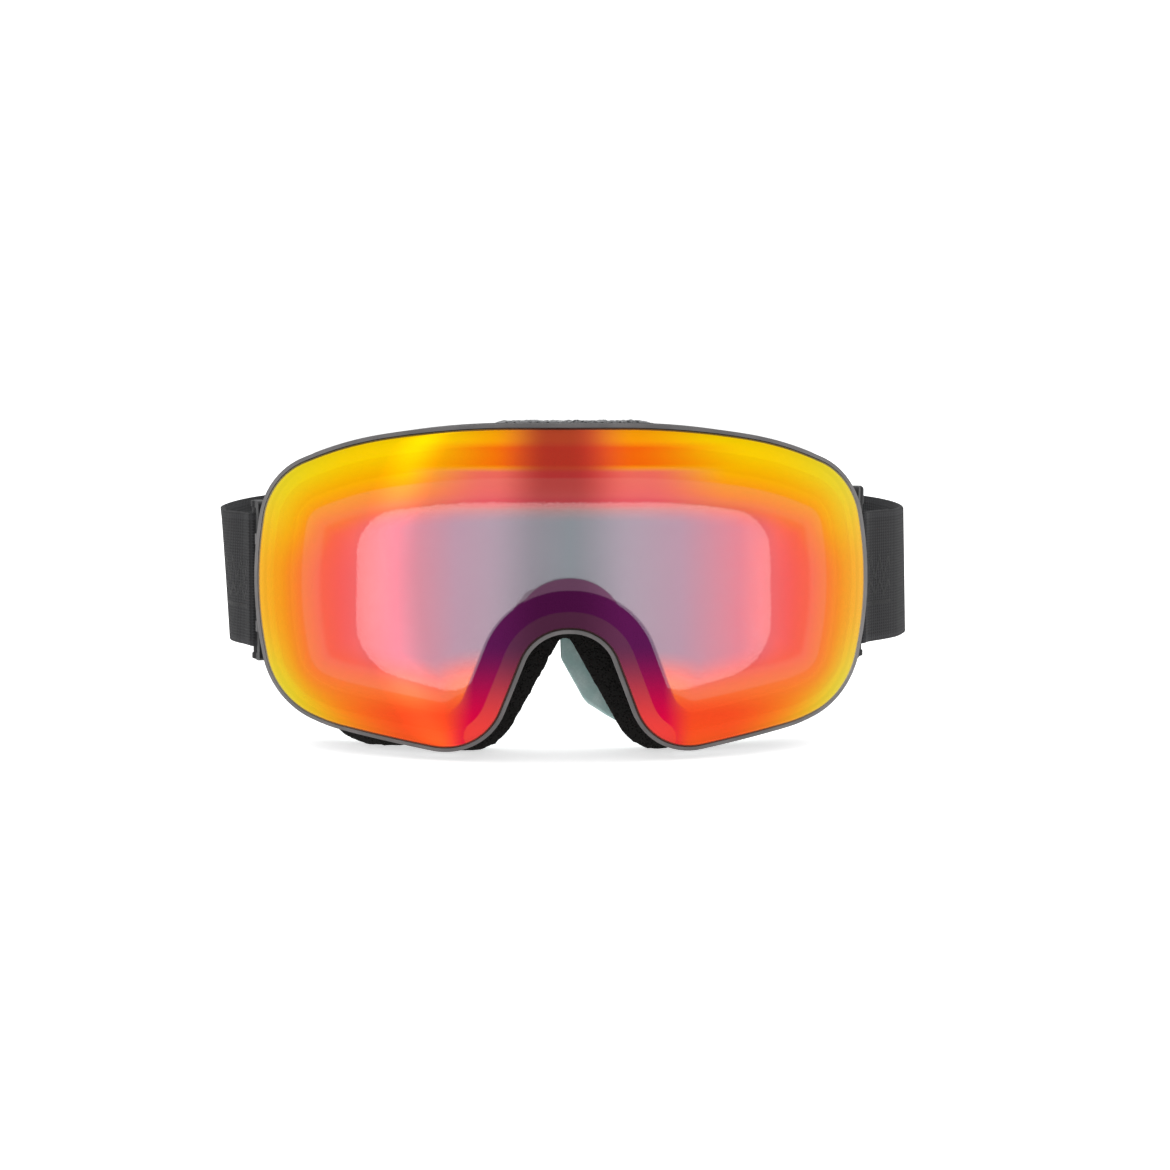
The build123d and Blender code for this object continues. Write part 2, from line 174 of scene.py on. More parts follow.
def lensMirrorMaterial():
    look = {
        "alpha": 0.74, "rough": 0.10,
        "rim": [(0.0, rgb(255, 212, 2)), (0.14, rgb(255, 188, 2)), (0.28, rgb(255, 158, 22)),
                (0.42, rgb(255, 132, 50)), (0.62, rgb(255, 106, 78)), (0.85, rgb(252, 98, 92)),
                (1.0, rgb(240, 92, 96))],
        # the middle: painted light seen through the opening, greyest where a dark reflection is
        # painted in
        "middle": [(0.0, rgb(140, 140, 150)), (0.30, rgb(160, 134, 151)),
                   (0.52, rgb(172, 124, 147)), (0.80, rgb(214, 102, 122)),
                   (1.0, rgb(255, 118, 116))],
        "corner": rgb(236, 220, 8), "ear": rgb(255, 168, 0), "crown": rgb(255, 138, 12),
        "rose": rgb(238, 88, 106), "flame": rgb(252, 86, 16), "brow": rgb(226, 58, 62),
        "chin": rgb(255, 72, 38), "foot": rgb(236, 24, 62), "bridge": rgb(134, 88, 120),
        "noseLow": (rgb(248, 70, 64), rgb(236, 6, 66)),  # over the rim, over the gasket
        "noseHigh": (rgb(104, 52, 84), rgb(96, 26, 84)),
        # the last colour is painted shade along the cut edge of the lens
        "gasket": rgb(220, 60, 0), "flange": rgb(255, 190, 170), "cut": rgb(58, 44, 36),
    }
    material, shader, start = newMaterial("lensMirror", Metallic=1.0, Roughness=look["rough"])
    place, (x, y, z) = objectPlace(start)
    inward, brim, arch = (
        start.add("ShaderNodeAttribute", out=2, settings={"attribute_name": name})
        for name in ("edgeDistance", "brimDistance", "archDistance")
    )
    side = abs(x)
    # yellow to red from the brim inwards, the bands wider above and narrower below
    depth = brim - z.fade(2.0, 22.0) * 5.5 + (1 - z.fade(-44.0, -20.0)) * 4.5
    colour = start.add("ShaderNodeValToRGB", settings={"stops": look["rim"]}, Fac=depth / 30.0)
    # the middle of the lens turns to a quiet grey lilac, greyest in the centre: painted light seen
    # through the opening, with a painted dark reflection of the viewer's side
    paintedThroughLilac = start.add("ShaderNodeValToRGB", settings={"stops": look["middle"]}, Fac=side / 60.0)
    colour = (brim.fade(16.0, 26.0) * (1 - side.fade(54.0, 66.0))).blend(colour, paintedThroughLilac)
    # greener yellow at the outer corners
    corner = side.fade(56.0, 84.0) * abs(z).fade(6.0, 34.0) * (1 - brim.fade(1.0, 12.0))
    colour = (corner * 0.85).blend(colour, look["corner"])
    # warmer at half height, orange over the middle of the brow
    ear = (1 - abs(z).fade(4.0, 30.0)) * (1 - brim.fade(4.0, 10.0))
    colour = (ear * 0.6).blend(colour, look["ear"])
    crown = z.fade(37.0, 41.0) * (1 - abs(x - 2.0).fade(16.0, 44.0))
    colour = (crown * 0.75).blend(colour, look["crown"])
    # under the brow: a rose strip over the foam, an orange strip over the gasket, red in the middle
    rose = z.fade(22.0, 25.0) * (1 - z.fade(32.5, 34.5)) * (1 - side.fade(22.0, 46.0))
    colour = (rose * 0.8).blend(colour, look["rose"])
    flame = z.fade(33.0, 35.0) * (1 - z.fade(39.0, 41.5)) * (1 - abs(x - 2.0).fade(14.0, 52.0))
    colour = (flame * 0.85).blend(colour, look["flame"])
    brow = z.fade(22.0, 30.0) * (1 - abs(x + 1.0).fade(4.0, 20.0))
    colour = (brow * 0.8).blend(colour, look["brow"])
    # orange to crimson along the chin
    chin = (1 - z.fade(-36.0, -26.0)) * (1 - brim.fade(12.0, 17.0))
    colour = (chin * (1 - side.fade(44.0, 80.0)) * 0.9).blend(colour, look["chin"])
    foot = (1 - z.fade(-40.0, -24.0)) * (1 - side.fade(23.0, 37.0))
    colour = (foot * 0.8).blend(colour, look["foot"])
    # crimson to plum up the nose, darker over the gasket
    nose = (1 - arch.fade(10.6, 11.4)) * (1 - side.fade(26.0, 35.0))
    up = z.fade(-42.0, -14.0)
    lowPair, highPair = look["noseLow"], look["noseHigh"]
    overRim, overGasket = (up.blend(low, high) for low, high in zip(lowPair, highPair))
    colour = nose.blend(colour, arch.fade(4.6, 5.0).blend(overRim, overGasket))
    bridge = (1 - bridgeHump(x, z).fade(0.96, 1.05)) * arch.fade(10.4, 11.0)
    colour = bridge.blend(colour, look["bridge"])
    # what lies behind shows as faint steps
    gasketStep = inward.fade(4.7, 5.1) * (1 - inward.fade(10.0, 10.5)) * (1 - nose)
    colour = (gasketStep * 0.10).blend(colour, look["gasket"])
    flangeStep = brim.fade(13.2, 13.9) * (1 - brim.fade(18.0, 20.0)) * (1 - nose)
    colour = (flangeStep * 0.10).blend(colour, look["flange"])
    # the cut edge is drawn as a thin dark line: painted shade of the gap between the lens and the
    # rim
    cut = 1 - inward.fade(0.3, 0.6)
    colour = (cut * 0.9).blend(colour, look["cut"])
    link(colour, shader, "Base Color")
    smear = noiseTex(start, place, 0.05, 3.0)
    link(smear * 0.04 + (look["rough"] - 0.02), shader, "Roughness")
    link(cut * 0.2 + look["alpha"], shader, "Alpha")
    return material


def lensClearPaintedLightMaterial():
    # painted light and shade: dark grey at the rim stands in for the shaded frame behind; inside
    # the foam's opening the film is pale and glows, painted light standing in for the light that
    # comes from behind
    material, shader, start = newMaterial("lensClearPaintedLight", Roughness=0.35)
    shader.inputs["Emission Strength"].default_value = 2.0
    shader.inputs["Specular IOR Level"].default_value = 0.2
    place, (x, y, z) = objectPlace(start)
    inside = start.add("ShaderNodeAttribute", out=2, settings={"attribute_name": "openingDistance"})
    fuzz = noiseTex(start, place, 1.1, 2.0) - 0.5
    aboveHump = (bridgeHump(x, z) + fuzz * 0.1).fade(0.97, 1.04)
    paintedBacklight = (inside + fuzz * 1.6).fade(-0.25, 0.35) * aboveHump
    # noise that varies the colour of the painted glow
    paintedGlowNoise = noiseTex(start, place, 0.08, 3.0)
    # painted shade outside the opening, pale inside it
    link(paintedBacklight.blend(rgb(66, 60, 62), rgb(216, 214, 220)), shader, "Base Color")
    glow = paintedGlowNoise.blend(rgb(212, 228, 228), rgb(221, 236, 236))
    # painted light: the patch inside the opening glows
    link(paintedBacklight.blend((0, 0, 0, 1), glow), shader, "Emission Color")
    link(paintedBacklight * 0.02 + 0.93, shader, "Alpha")
    return material


def mouldedMaterial(name, light, dark, rough, grain=3.0, strength=0.25):
    # moulded plastic or rubber with a fine sand-blasted skin
    material, shader, start = newMaterial(name)
    shader.inputs["Specular IOR Level"].default_value = 0.35
    place, axes = objectPlace(start)
    fine = noiseTex(start, place, grain, 3.0, 0.6)
    broad = noiseTex(start, place, 0.12, 2.0)
    link(broad.fade(0.3, 0.7).blend(dark, light), shader, "Base Color")
    link(fine * 0.16 + (rough - 0.08), shader, "Roughness")
    bump(start, shader, fine, strength, 0.00012)
    return material


def foamMaterial(name, light, dark, cell):
    # cut polyurethane foam with open cells
    material, shader, start = newMaterial(name, Roughness=0.95)
    shader.inputs["Specular IOR Level"].default_value = 0.15
    place, axes = objectPlace(start)
    cells = start.add("ShaderNodeTexVoronoi", Vector=place, Scale=cell, Randomness=1.0)
    clouds = noiseTex(start, place, 0.35, 3.0)
    pores = cells.fade(0.1, 0.55)
    colour = pores.blend(dark, light)
    link((clouds.fade(0.3, 0.75) * 0.35).blend(colour, dark), shader, "Base Color")
    link(1.0 - pores * 0.12, shader, "Roughness")
    bump(start, shader, pores + clouds * 0.8, 0.7, 0.0005)
    return material


def fleeceMaterial():
    material, shader, start = newMaterial("linerFleece", Roughness=0.9)
    shader.inputs["Sheen Weight"].default_value = 0.35
    shader.inputs["Sheen Roughness"].default_value = 0.45
    place, axes = objectPlace(start)
    tufts = noiseTex(start, place, 1.7, 4.0, 0.65)
    patches = noiseTex(start, place, 0.16, 2.0)
    colour = patches.fade(0.3, 0.7).blend(rgb(166, 196, 193), rgb(192, 212, 209))
    link((tufts.fade(0.35, 0.62) * 0.35).blend(colour, rgb(150, 178, 176)), shader, "Base Color")
    link(tufts * 0.1 + 0.85, shader, "Roughness")
    bump(start, shader, tufts, 0.5, 0.0005)
    return material


def strapMaterial():
    # knitted elastic: fine columns along the strap, cross ribs, a raised selvedge and a sewn motif
    look = {
        "dark": rgb(24, 24, 25), "light": rgb(52, 52, 54),
        "motif": rgb(16, 16, 17), "thread": rgb(112, 112, 116),
        "columnEvery": 0.9, "ribEvery": 1.3, "satinEvery": 0.55, "stitchEvery": 2.6,
        "motifAt": 43.0, "motifHalf": 10.0, "peakHalf": 6.0, "stitchRows": (2.5, 11.0),
    }
    material, shader, start = newMaterial("strapElastic", Roughness=0.85)
    shader.inputs["Specular IOR Level"].default_value = 0.15
    shader.inputs["Sheen Weight"].default_value = 0.04
    along, across = uvPlace(start, "strapUV")
    place, axes = objectPlace(start)
    column = start.math("SINE", across * (2 * pi / look["columnEvery"])) * 0.5 + 0.5
    rib = start.math("SINE", along * (2 * pi / look["ribEvery"]) + column * 1.6) * 0.5 + 0.5
    knit = column * 0.45 + rib * 0.55
    selvedge = abs(across).fade(17.6, 18.6) * (1 - abs(across).fade(19.2, 20.0))
    fuzz = noiseTex(start, place, 2.4, 3.0, 0.6)
    # a mountain line in satin stitch on each side of the head, tone on tone
    zigzag = abs(start.math("PINGPONG", along, look["peakHalf"]) - look["peakHalf"] / 2) * 2.2
    motifZone = 1 - abs(along - look["motifAt"]).fade(look["motifHalf"] - 0.5, look["motifHalf"])
    first = 1 - abs(across + zigzag - 6.0).fade(0.8, 1.2)
    second = 1 - abs(across + zigzag * 0.6 + 1.5).fade(0.6, 1.0)
    third = 1 - abs(across + 8.0).fade(0.4, 0.8)
    motif = start.math("MAXIMUM", first, start.math("MAXIMUM", second, third)) * motifZone
    satin = start.math("SINE", (along + across) * (2 * pi / look["satinEvery"])) * 0.5 + 0.5
    # two rows of lockstitch hold the fold behind the arm
    dashes = start.math("SINE", across * (2 * pi / look["stitchEvery"])).fade(-0.2, 0.2)
    firstRow, secondRow = (1 - abs(along - row).fade(0.25, 0.45) for row in look["stitchRows"])
    stitch = (firstRow + secondRow) * dashes * (1 - abs(across).fade(17.0, 17.4))
    colour = knit.blend(look["dark"], look["light"])
    colour = (fuzz.fade(0.3, 0.8) * 0.35).blend(colour, look["dark"])
    colour = (selvedge * 0.5).blend(colour, look["light"])
    colour = (motif * 0.95).blend(colour, look["motif"])
    colour = stitch.blend(colour, look["thread"])
    link(colour, shader, "Base Color")
    link(0.9 - motif * 0.35, shader, "Roughness")
    height = knit * (1 - motif) + selvedge * 0.5 + motif * (satin * 0.6 + 1.0) + stitch * 1.4
    bump(start, shader, height, 0.6, 0.0003)
    return material


def siliconeMaterial():
    material, shader, start = newMaterial("silicone", Roughness=0.35, Coat_Weight=0.3)
    place, axes = objectPlace(start)
    beads = start.add("ShaderNodeTexVoronoi", Vector=place, Scale=0.7)
    link((beads.fade(0.0, 0.8) * 0.4).blend(rgb(52, 54, 58), rgb(38, 40, 44)), shader, "Base Color")
    bump(start, shader, 1 - beads.fade(0.0, 0.8), 0.4, 0.0003)
    return material


def steelMaterial():
    material, shader, start = newMaterial("pinSteel", Metallic=1.0, Roughness=0.3)
    place, axes = objectPlace(start)
    brushed = noiseTex(start, place, 1.5, 3.0)
    link(brushed * 0.2 + 0.22, shader, "Roughness")
    link(brushed.blend(rgb(150, 150, 152), rgb(182, 182, 184)), shader, "Base Color")
    return material


lensMirror = lensMirrorMaterial()
lensClearPaintedLight = lensClearPaintedLightMaterial()
carrierPlastic = mouldedMaterial("carrierPlastic", rgb(97, 94, 94), rgb(84, 82, 82), 0.42,
                                 4.0, 0.12)
frameRubber = mouldedMaterial("frameRubber", rgb(88, 86, 87), rgb(74, 72, 73), 0.55)
hardTrim = mouldedMaterial("hardTrim", rgb(22, 22, 24), rgb(15, 15, 17), 0.55, 3.0, 0.2)
gasketFoam = foamMaterial("gasketFoam", rgb(26, 24, 24), rgb(14, 13, 13), 1.6)
ventFoam = foamMaterial("ventFoam", rgb(150, 151, 152), rgb(74, 75, 76), 0.9)
blackFoam = foamMaterial("blackFoam", rgb(32, 31, 30), rgb(21, 20, 19), 1.4)
linerFleece = fleeceMaterial()
strapElastic = strapMaterial()
silicone = siliconeMaterial()
pinSteel = steelMaterial()
print("materials made")


def clearSelection():
    if bpy.context.object and bpy.context.object.mode != "OBJECT":
        bpy.ops.object.mode_set(mode="OBJECT")
    bpy.ops.object.select_all(action="DESELECT")


def dress(name, material):
    # a carried-over part takes its finish
    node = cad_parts[name]
    node.data.materials.clear()
    node.data.materials.append(material)


def roundedOutline(half, count, cornerSteps=40):
    # closed outline with rounded corners from its right half: count evenly spaced points (x, z)
    ring = half + [(-x, z, r) for x, z, r in reversed(half)]
    total = len(ring)
    sides = [hypot(ring[i][0] - ring[i - 1][0], ring[i][1] - ring[i - 1][1]) for i in range(total)]
    turns, headings = [], []
    for i in range(total):
        before, here, after = ring[i - 1], ring[i], ring[(i + 1) % total]
        coming = atan2(here[1] - before[1], here[0] - before[0])
        going = atan2(after[1] - here[1], after[0] - here[0])
        turn = (going - coming + pi) % (2 * pi) - pi
        turns.append(turn)
        headings.append((coming, going))
    lengths = [ring[i][2] * tan(abs(turns[i]) / 2) for i in range(total)]
    fitted = list(lengths)
    for i in range(total):
        share = 0.98 * sides[i] / (lengths[i] + lengths[i - 1])
        if share < 1:
            fitted[i] = min(fitted[i], lengths[i] * share)
            fitted[i - 1] = min(fitted[i - 1], lengths[i - 1] * share)
    path = []
    for i in range(total):
        x, z, r = ring[i]
        coming, going = headings[i]
        radius = fitted[i] / tan(abs(turns[i]) / 2)
        startX, startZ = x - fitted[i] * cos(coming), z - fitted[i] * sin(coming)
        side = 1 if turns[i] > 0 else -1
        centreX = startX - side * radius * sin(coming)
        centreZ = startZ + side * radius * cos(coming)
        for k in range(cornerSteps + 1):
            angle = coming + turns[i] * k / cornerSteps
            path.append((centreX + side * radius * sin(angle),
                         centreZ - side * radius * cos(angle)))
    return evenly(path, count, True)


def evenly(path, count, closed=False):
    # the same path with count points at even spacing
    points = path + [path[0]] if closed else path
    lengths = [0.0]
    for a, b in zip(points, points[1:]):
        lengths.append(lengths[-1] + sqrt(sum((p - q) ** 2 for p, q in zip(a, b))))
    result, k = [], 0
    for i in range(count):
        target = lengths[-1] * i / (count if closed else count - 1)
        while k < len(lengths) - 2 and lengths[k + 1] < target:
            k += 1
        span = lengths[k + 1] - lengths[k] or 1
        t = min(1, (target - lengths[k]) / span)
        result.append(tuple(p + (q - p) * t for p, q in zip(points[k], points[k + 1])))
    return result


def grownOutline(outline, amount):
    # moved outwards by amount, along the normals
    count = len(outline)
    result = []
    for i in range(count):
        (ax, az), (bx, bz) = outline[i - 1], outline[(i + 1) % count]
        length = hypot(bx - ax, bz - az)
        nx, nz = -(bz - az) / length, (bx - ax) / length
        result.append((outline[i][0] + nx * amount, outline[i][1] + nz * amount))
    return result


def lensPoints(sideIn=0.0, rise=0.0, drop=0.0, noseIn=0.0):
    # corners of a lens-shaped outline, right half: x, z, rounding
    side = 89.8 - sideIn
    return [
        (32.5, 44.7 + rise, 228.0), (side - 28.2, 40.0 + rise, 96.0), (side - 4.6, 30.5, 20.5),
        (side, -1.5, 110.0), (side - 5.8, -34.1, 21.0), (side - 22.5, -39.7 - drop, 41.0),
        (24.1 - noseIn, -46.9 - drop, 17.2), (10.0 - 0.4 * noseIn, -10.2 - noseIn, 13.8),
    ]


# the opening in the face foam, right half
aperturePoints = [(30.5, 24.6, 150.0), (60.2, 20.6, 13.0), (61.0, -23.5, 16.0),
                  (29.0, -31.5, 9.0), (11.5, 0.8, 9.0)]
lensRadius = 105.04
lensApex = -47.0  # y of the foremost point of the lens
faceRadius = 99.89
facePlane = -15.0  # y of the foremost point of the face foam


def onLens(x, z, radius):
    # y of a point on a sphere concentric with the lens
    return lensApex + lensRadius - sqrt(max(0.0, radius * radius - x * x - z * z))


def onFace(x, behind):
    # y of a point on the face surface moved back by an amount
    return facePlane + behind + faceRadius - sqrt(max(0.0, faceRadius ** 2 - x * x))


def smooth(t):
    # 0 to 1 with a soft start and end
    t = max(0.0, min(1.0, t))
    return t * t * (3 - 2 * t)


def finishMesh(piece, angle=None, turned=True):
    # normals outward and smooth shading
    clearSelection()
    piece.select_set(True)
    bpy.context.view_layer.objects.active = piece
    if turned:
        bpy.ops.object.mode_set(mode="EDIT")
        bpy.ops.mesh.select_all(action="SELECT")
        bpy.ops.mesh.normals_make_consistent(inside=False)
        bpy.ops.object.mode_set(mode="OBJECT")
    if angle is None:
        bpy.ops.object.shade_smooth()
    else:
        bpy.ops.object.shade_smooth_by_angle(angle=radians(angle))


def applyModifier(piece, kind, **settings):
    bpy.context.view_layer.objects.active = piece
    modifier = piece.modifiers.new(kind.lower(), kind)
    for key, value in settings.items():
        setattr(modifier, key, value)
    bpy.ops.object.modifier_apply(modifier=modifier.name)


def wrappedGrid(name, countU, countV, place, mergeBy=0.002):
    # a grid laid over a closed or tubular surface and merged where it meets itself
    # place(u, v) gives a point in millimetres
    clearSelection()
    bpy.ops.mesh.primitive_grid_add(x_subdivisions=countU, y_subdivisions=countV, size=2)
    piece = bpy.context.object
    piece.name = piece.data.name = name
    for vertex in piece.data.vertices:
        u, v = (vertex.co.x + 1) / 2, (vertex.co.y + 1) / 2
        vertex.co = Vector(place(u, v)) * mm
    bpy.ops.object.mode_set(mode="EDIT")
    bpy.ops.mesh.select_all(action="SELECT")
    bpy.ops.mesh.remove_doubles(threshold=mergeBy * mm)
    bpy.ops.object.mode_set(mode="OBJECT")
    return piece


lensLook = {
    "around": 360, "rings": 26, "spineWidth": 0.70, "spineHeight": 5.0,
    "outerThickness": 1.2, "innerThickness": 0.8, "innerRadius": 101.04, "innerInset": 4.9,
    "openingScale": 0.965, "openingShift": (-0.6, 0.6),
}


def makeLens(name, radius, inset, thickness, edge, material, node):
    # rings from the edge to a spine, laid on a sphere, then given their thickness
    count, rings = lensLook["around"], lensLook["rings"]
    outline = roundedOutline(lensPoints(), count)
    if inset:
        outline = grownOutline(outline, -inset)
    spineWidth, spineHeight = lensLook["spineWidth"], lensLook["spineHeight"]
    spine = [(x * spineWidth, spineHeight + (z - spineHeight) * 0.02) for x, z in outline]
    clearSelection()
    bpy.ops.mesh.primitive_circle_add(vertices=count, radius=1, fill_type="NOTHING")
    piece = bpy.context.object
    piece.name = piece.data.name = name
    bpy.ops.object.mode_set(mode="EDIT")
    bpy.ops.mesh.select_all(action="SELECT")
    for ring in range(rings):
        bpy.ops.mesh.extrude_edges_move()
    bpy.ops.object.mode_set(mode="OBJECT")
    for vertex in piece.data.vertices:
        ring, k = divmod(vertex.index, count)
        share = (ring / rings) ** 1.15
        x = outline[k][0] + (spine[k][0] - outline[k][0]) * share
        z = outline[k][1] + (spine[k][1] - outline[k][1]) * share
        vertex.co = Vector((x, onLens(x, z, radius), z)) * mm
    bpy.ops.object.mode_set(mode="EDIT")
    bpy.ops.mesh.select_all(action="DESELECT")
    bpy.ops.object.mode_set(mode="OBJECT")
    last = count * rings
    for line in piece.data.edges:
        line.select = all(v >= last for v in line.vertices)
    bpy.ops.object.mode_set(mode="EDIT")
    bpy.ops.mesh.select_mode(type="EDGE")
    bpy.ops.mesh.fill()
    bpy.ops.mesh.select_mode(type="VERT")
    bpy.ops.object.mode_set(mode="OBJECT")
    finishMesh(piece)
    if sum(f.normal.y for f in piece.data.polygons) > 0:
        piece.data.flip_normals()
    applyModifier(piece, "SOLIDIFY", thickness=thickness * mm, offset=-1)
    applyModifier(piece, "BEVEL", width=edge * mm, segments=2, limit_method="ANGLE",
                  angle_limit=radians(50))
    finishMesh(piece, 40, turned=False)
    piece.data.materials.append(material)
    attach(piece, "lens")
    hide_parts(node)
    return piece


def storeDistance(piece, name, outline, signed=False, kept=None):
    # how far each point lies from an outline, in millimetres, seen from the front
    ends = np.array(outline)
    starts = np.roll(ends, 1, axis=0)
    if kept is not None:
        chosen = np.array([kept(x, z) for x, z in outline])
        starts, ends = starts[chosen], ends[chosen]
    points = np.array([(v.co.x / mm, v.co.z / mm) for v in piece.data.vertices])
    far = np.full(len(points), 1e9)
    inside = np.zeros(len(points), bool)
    for a, b in zip(starts, ends):
        run = b - a
        t = np.clip(((points - a) @ run) / (run @ run), 0, 1)
        far = np.minimum(far, np.hypot(*(points - a - t[:, None] * run).T))
        if (a[1] > b[1]) != (a[1] < b[1]):
            spans = (a[1] > points[:, 1]) != (b[1] > points[:, 1])
            inside ^= spans & (points[:, 0] < a[0] + run[0] * (points[:, 1] - a[1]) / run[1])
    attribute = piece.data.attributes.new(name, "FLOAT", "POINT")
    attribute.data.foreach_set("value", np.where(inside, far, -far) if signed else far)


def onArch(x, z):
    # whether a point of the outline belongs to the nose arch
    return abs(x) < 25.0 and -46.0 < z < 0.0


outerLens = makeLens("lensOuterMirror", lensRadius, 0.0, lensLook["outerThickness"], 0.25,
                     lensMirror, "outer_lens")
lensEdge = roundedOutline(lensPoints(), 400)
storeDistance(outerLens, "edgeDistance", lensEdge)
storeDistance(outerLens, "brimDistance", lensEdge, kept=lambda x, z: not onArch(x, z))
storeDistance(outerLens, "archDistance", lensEdge, kept=onArch)
innerLens = makeLens("lensInnerFilmPaintedLight", lensLook["innerRadius"], lensLook["innerInset"],
                     lensLook["innerThickness"], 0.1, lensClearPaintedLight, "inner_lens")
# the opening as it shows on the inner lens, where its painted light sits: a little smaller than it
# is in the foam
shiftX, shiftZ = lensLook["openingShift"]
opening = [(x * lensLook["openingScale"] + shiftX, z * lensLook["openingScale"] + shiftZ)
           for x, z in roundedOutline(aperturePoints, 200)]
storeDistance(innerLens, "openingDistance", opening, True)
print("lenses made")
dress("lens_carrier", carrierPlastic)
dress("frame_shell", frameRubber)
for side in ("left", "right"):
    dress("arm_pin_" + side, pinSteel)


loopLift = {"startsAt": 48.0, "over": 80.0, "height": 3.0}
trimLook = {
    "armReach": 21.8, "armEndShare": 0.35,
    "voxel": 0.55, "tear": 0.45, "taper": 0.22, "taperMost": 1.9,
}


def liftAt(y):
    # the loop climbs a little towards the back of the head
    return loopLift["height"] * smooth((y - loopLift["startsAt"]) / loopLift["over"])


def copiedNode(node, name, material, body, move):
    # a carried-over part's own mesh, merged, with its points moved
    piece = bpy.data.objects.new(name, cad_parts[node].data.copy())
    scene.collection.objects.link(piece)
    clearSelection()
    piece.select_set(True)
    bpy.context.view_layer.objects.active = piece
    if piece.data.has_custom_normals:
        bpy.ops.mesh.customdata_custom_splitnormals_clear()
    bpy.ops.object.mode_set(mode="EDIT")
    bpy.ops.mesh.select_all(action="SELECT")
    bpy.ops.mesh.remove_doubles(threshold=0.002 * mm)
    bpy.ops.object.mode_set(mode="OBJECT")
    for vertex in piece.data.vertices:
        x, y, z = (c / mm for c in vertex.co)
        vertex.co = Vector(move(x, y, z)) * mm
    bpy.ops.object.shade_smooth_by_angle(angle=radians(35))
    piece.data.materials.clear()
    piece.data.materials.append(material)
    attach(piece, body)
    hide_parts(node)
    return piece


def unmoved(x, y, z):
    return x, y, z


def raised(x, y, z):
    return x, y, z + liftAt(y)


def shorter(top, bottom):
    # the ends of an arm past its slot, drawn in to a share of their length
    reach = trimLook["armReach"]

    def move(x, y, z):
        high = z - strapMiddle
        if high > reach:
            high = reach + (high - reach) * top
        elif high < -reach:
            high = -reach + (high + reach) * bottom
        return x, y, high + strapMiddle
    return move


def fuzzyStrip(node, name, low, high, top):
    # a strip of open foam with torn, uneven edges that tapers off past low and high
    piece = copiedNode(node, name, ventFoam, "frame", unmoved)
    piece.data.remesh_voxel_size = trimLook["voxel"] * mm
    clearSelection()
    piece.select_set(True)
    bpy.context.view_layer.objects.active = piece
    bpy.ops.object.voxel_remesh()
    for vertex in piece.data.vertices:
        x, y, z = (c / mm for c in vertex.co)
        rough = noise(Vector((x, y, z)) / 1.1) + 0.6 * noise(Vector((z, x, y)) / 2.7)
        ends = max(0.0, low - x) + max(0.0, x - high)
        proud = trimLook["tear"] * rough - min(trimLook["taperMost"], trimLook["taper"] * ends)
        z += proud * (1 if top else -1)
        vertex.co = Vector((x + 0.2 * rough, y + 0.3 * rough, z)) * mm
    bpy.ops.object.shade_smooth()
    return piece


fuzzyStrip("brow_vent_foam", "browVentFoam", -17.0, 22.0, True)
fuzzyStrip("chin_vent_foam_left", "chinVentFoam_left", -90.0, 90.0, False)
fuzzyStrip("chin_vent_foam_right", "chinVentFoam_right", -90.0, 90.0, False)
gasket = copiedNode("lens_gasket", "lensGasketFoam", gasketFoam, "lens", unmoved)
for side, topShare in (("right", 1.0), ("left", trimLook["armEndShare"])):
    copiedNode("strap_arm_" + side, "strapArm_" + side, hardTrim, "arm_" + side,
               shorter(topShare, trimLook["armEndShare"]))
for side in ("left", "right"):
    copiedNode("adjuster_" + side, "adjuster_slide_" + side, hardTrim, "slider_" + side,
               raised)
copiedNode("strap_grips", "gripLines", silicone, "frame", raised)
print("frame, arms and foam strips dressed")


foamLook = {
    "around": 420, "across": 8, "step": 0.8,  # each layer is drawn in by a step
    "sideIn": 7.4, "rise": -0.8, "drop": 3.0,
    "noseFoot": (20.4, -49.6, 14.0), "noseTop": (1.3, -15.4, 3.0),
    "sagDepth": 5.0, "sagAt": -62.0, "sagWidth": 18.0, "sagFrom": -10.0,
    "fuzzSize": 1.3, "lip": 7.4,
}


def sag(x, z):
    # the soft lower edge hangs a little on the wearer's right side
    if z > foamLook["sagFrom"]:
        return 0.0
    t = (x - foamLook["sagAt"]) / foamLook["sagWidth"]
    return foamLook["sagDepth"] * exp(-t * t) * min(1.0, (foamLook["sagFrom"] - z) / 25)


def lipShape(x, z):
    # where the liner stands out into the nose gap
    if not 0 < x < 19 or z < -46:
        return 0.0
    return smooth((-15.0 - z) / 8.0) * smooth((z + 44.0) / 10.0)


